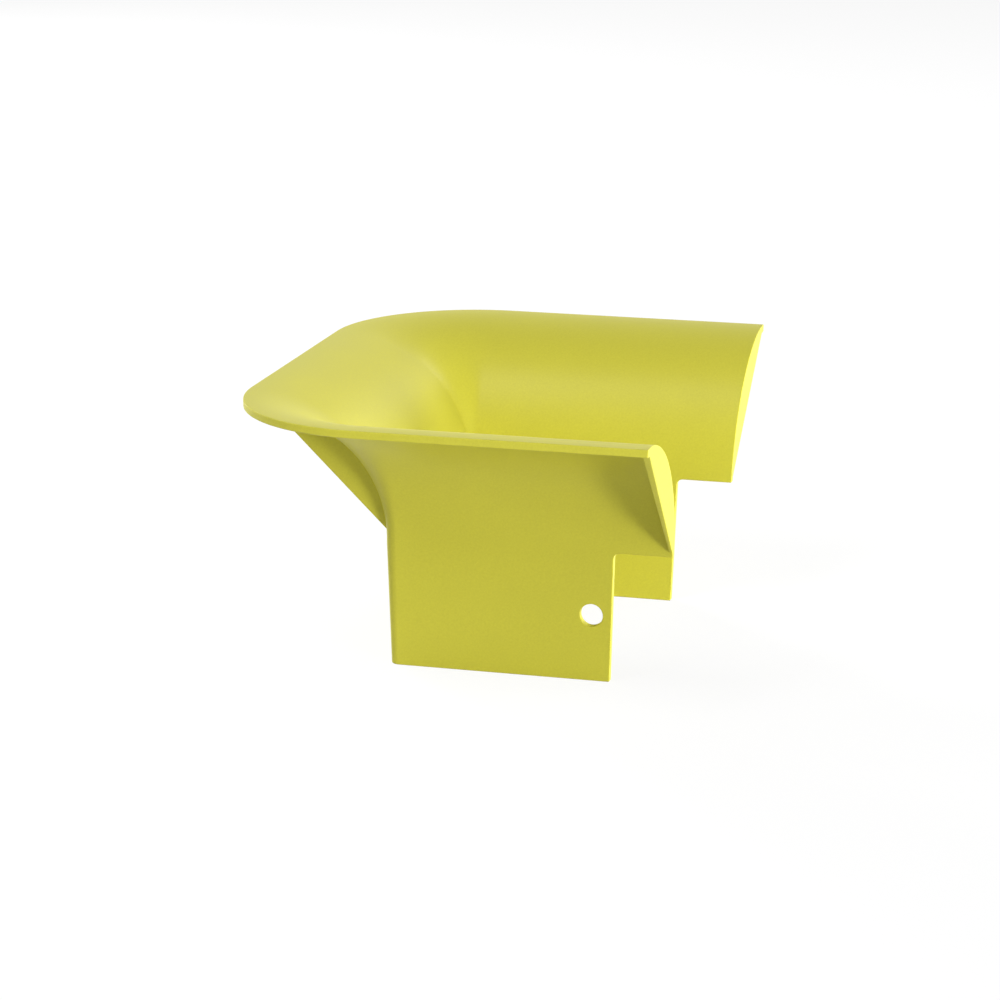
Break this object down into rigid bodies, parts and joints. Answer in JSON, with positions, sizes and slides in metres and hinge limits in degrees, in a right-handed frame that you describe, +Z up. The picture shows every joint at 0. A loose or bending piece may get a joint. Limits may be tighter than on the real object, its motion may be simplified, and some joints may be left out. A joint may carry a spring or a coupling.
{
  "type": "fibre raceway trumpet fitting",
  "caption": "U-shaped raceway sleeve in yellow plastic whose walls flare out at the top into a wide bell mouth, so that fibre cables leave the trough over a gentle bend.",
  "frame": {"origin": "middle of the bounding box in plan, at the height of the sleeve's foot", "axes": "+X out of the sleeve's open side, +Z up towards the flare's rim, +Y across the sleeve; the XZ plane is the plane of symmetry"},
  "size_m": [0.1531, 0.2058, 0.0962],
  "materials": {
    "yellow_plastic": "satin moulded"
  },
  "bodies": {
    "root": {"trumpet_fitting": "yellow_plastic"}
  },
  "joints": []
}
